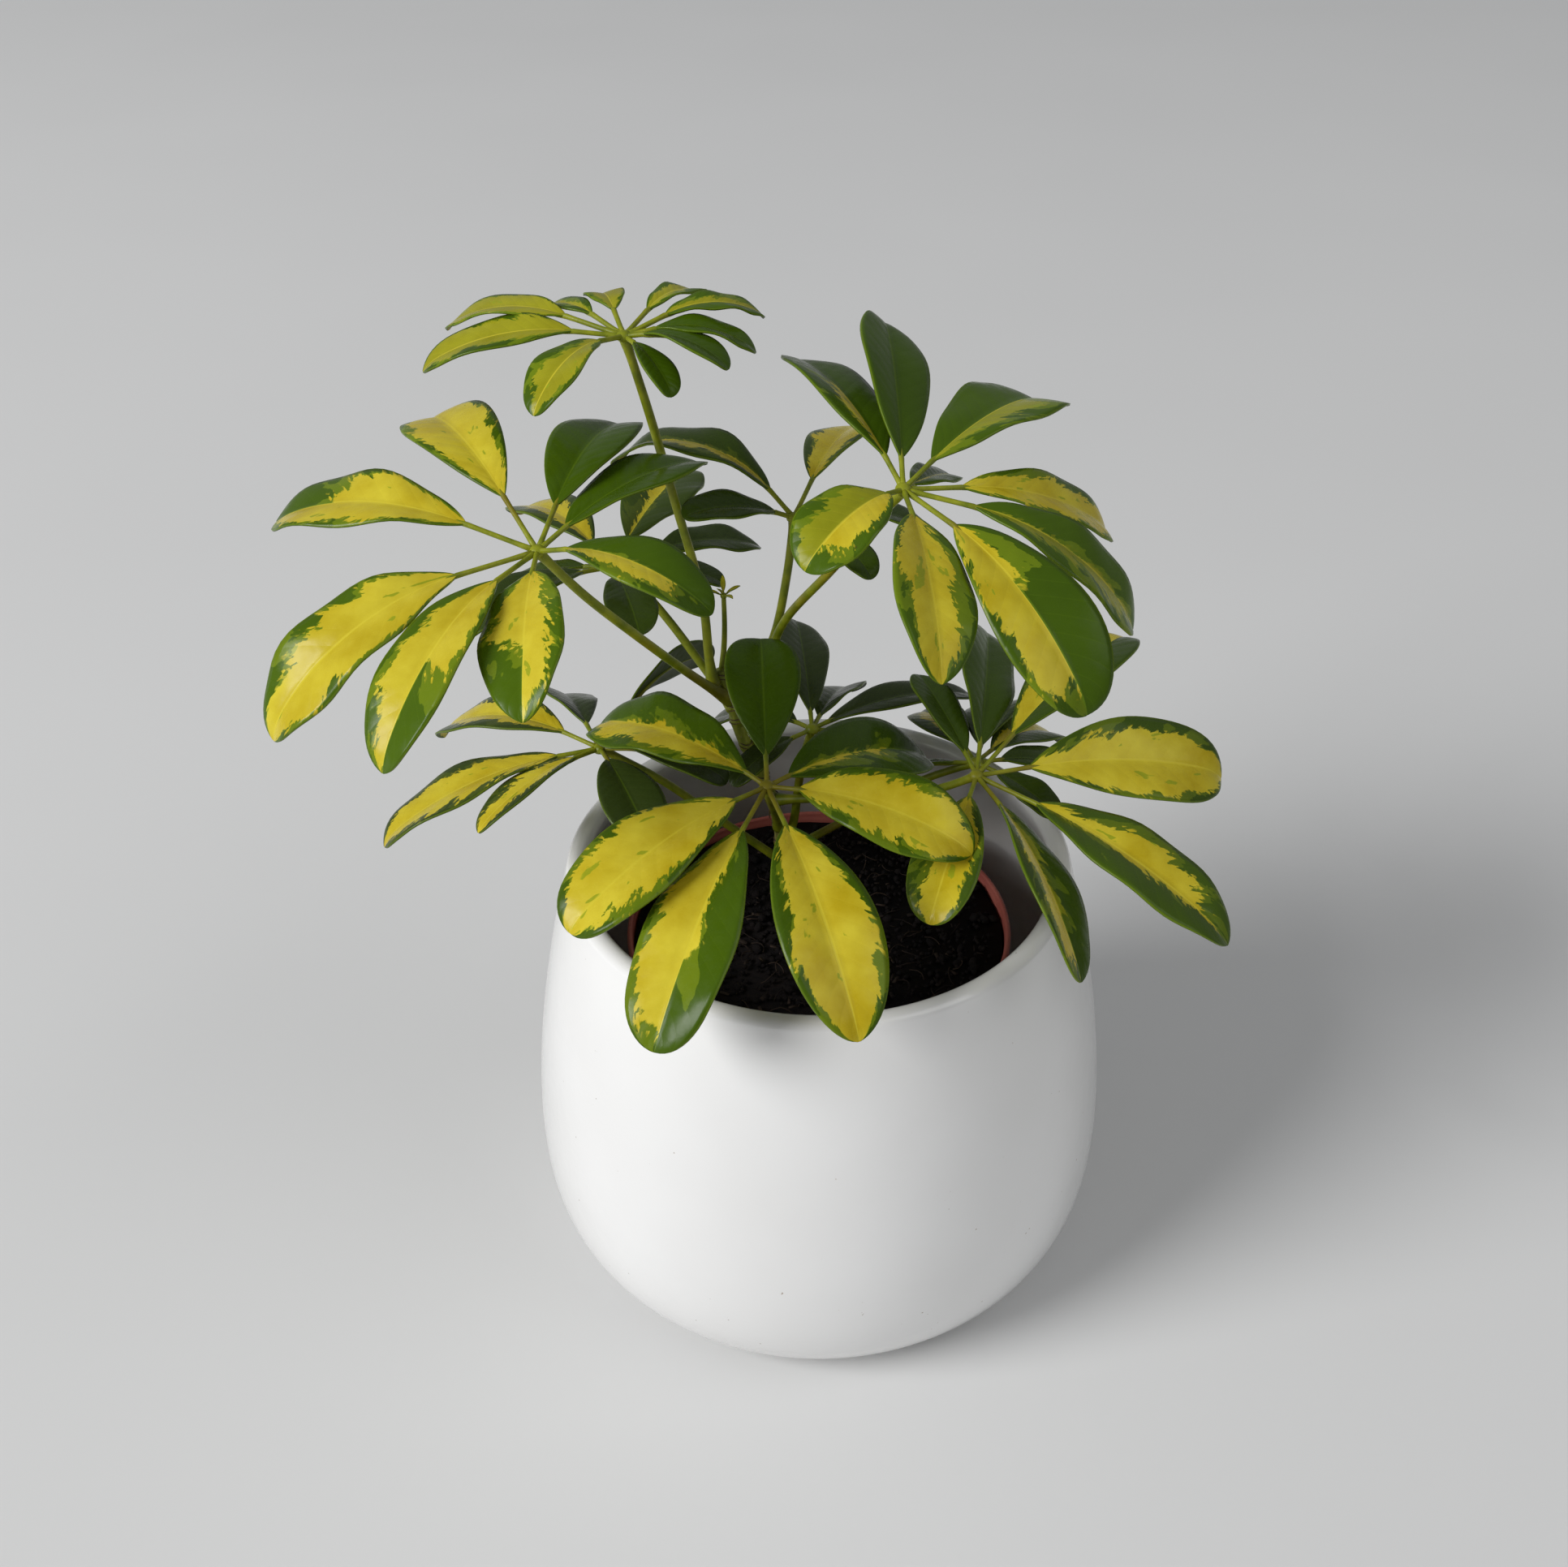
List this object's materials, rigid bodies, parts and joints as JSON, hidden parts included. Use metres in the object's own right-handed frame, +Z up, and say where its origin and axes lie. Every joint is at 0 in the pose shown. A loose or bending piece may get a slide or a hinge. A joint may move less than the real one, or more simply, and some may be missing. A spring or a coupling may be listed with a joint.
{
  "type": "potted umbrella plant",
  "caption": "Dwarf umbrella plant with yellow and green leaflets in round whorls, in a nursery pot of peat inside a bellied white ceramic cover pot.",
  "frame": {"origin": "centre of the cover pot's flat base, on the surface that the pot stands on", "axes": "+Z up along the pots' axis, -Y towards the viewer of the picture, +X to the viewer's right"},
  "size_m": [0.2599, 0.1979, 0.2925],
  "materials": {
    "glaze": "gloss",
    "plastic": "matte",
    "peat": "matte",
    "stem": "satin",
    "leaf": "satin"
  },
  "bodies": {
    "root": {"cover_pot": "glaze", "nursery_pot": "plastic", "soil": "peat", "main_stem": "stem", "growing_tip": "stem", "frond_top": "leaf", "frond_upper_left": "leaf", "frond_upper_right": "leaf", "frond_upper_back": "leaf", "frond_left_back": "leaf", "frond_lower_left": "leaf", "frond_front": "leaf", "frond_right": "leaf", "frond_back": "leaf", "frond_right_back": "leaf"}
  },
  "joints": []
}
